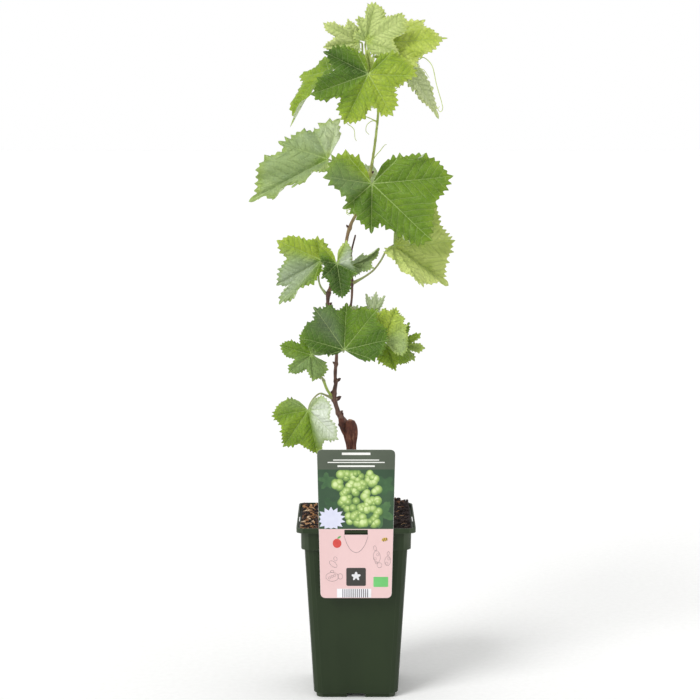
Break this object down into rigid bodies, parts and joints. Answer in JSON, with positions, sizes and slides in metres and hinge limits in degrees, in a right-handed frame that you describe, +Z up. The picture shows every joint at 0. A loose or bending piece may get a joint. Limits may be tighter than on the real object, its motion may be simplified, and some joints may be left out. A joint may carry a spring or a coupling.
{
  "type": "potted grapevine",
  "caption": "Young grafted grapevine in a square nursery pot: a short stock, slender stems, lobed leaves on thin stalks, and a card label in front.",
  "frame": {"origin": "middle of the pot's flat underside", "axes": "+Z up, -Y towards the face of the label, +X to the right seen from there"},
  "size_m": [0.1815, 0.1116, 0.6426],
  "materials": {
    "pot": "moulded dark green plastic, satin, a little dusty",
    "soil": "damp peat with bark chips and fibre",
    "label": "printed plastic card, smooth",
    "old_bark": "reddish brown stringy bark",
    "cane": "brown one-year wood, finely ribbed",
    "green_shoot": "green shoot with a waxy skin",
    "stalk": "green stalk, slightly downy",
    "blade": "vine leaf, satin above, pale and downy beneath",
    "young_blade": "young vine leaf, yellow-green, soft sheen"
  },
  "bodies": {
    "root": {"pot": "pot", "soil": "soil", "label": "label", "rootstock": "old_bark", "main_stem": "cane", "leading_shoot": "green_shoot", "second_shoot": "cane", "side_shoot": "green_shoot", "leaf_low_left": "blade", "petiole_low_left": "stalk", "leaf_mid_left": "blade", "petiole_mid_left": "stalk", "leaf_mid": "blade", "petiole_mid": "stalk", "leaf_upright": "blade", "petiole_upright": "stalk", "leaf_right_upper": "blade", "petiole_right_upper": "stalk", "leaf_right_lower": "blade", "petiole_right_lower": "stalk", "leaf_right_outer": "blade", "petiole_right_outer": "stalk", "leaf_left_bent": "blade", "petiole_left_bent": "stalk", "leaf_centre": "blade", "petiole_centre": "stalk", "leaf_rolled": "blade", "petiole_rolled": "stalk", "leaf_right_wide": "blade", "petiole_right_wide": "stalk", "leaf_great": "blade", "petiole_great": "stalk", "leaf_left_long": "blade", "petiole_left_long": "stalk", "leaf_top": "young_blade", "petiole_top": "stalk", "leaf_top_left": "young_blade", "petiole_top_left": "stalk", "leaf_top_right": "young_blade", "petiole_top_right": "stalk", "leaf_top_front": "young_blade", "petiole_top_front": "stalk", "leaf_drooping": "young_blade", "petiole_drooping": "stalk", "leaf_narrow": "young_blade", "petiole_narrow": "stalk", "leaf_tip": "young_blade", "petiole_tip": "stalk", "leaf_back_upper": "blade", "petiole_back_upper": "stalk", "leaf_back_low": "blade", "petiole_back_low": "stalk", "leaf_back_top": "young_blade", "petiole_back_top": "stalk"}
  },
  "joints": []
}
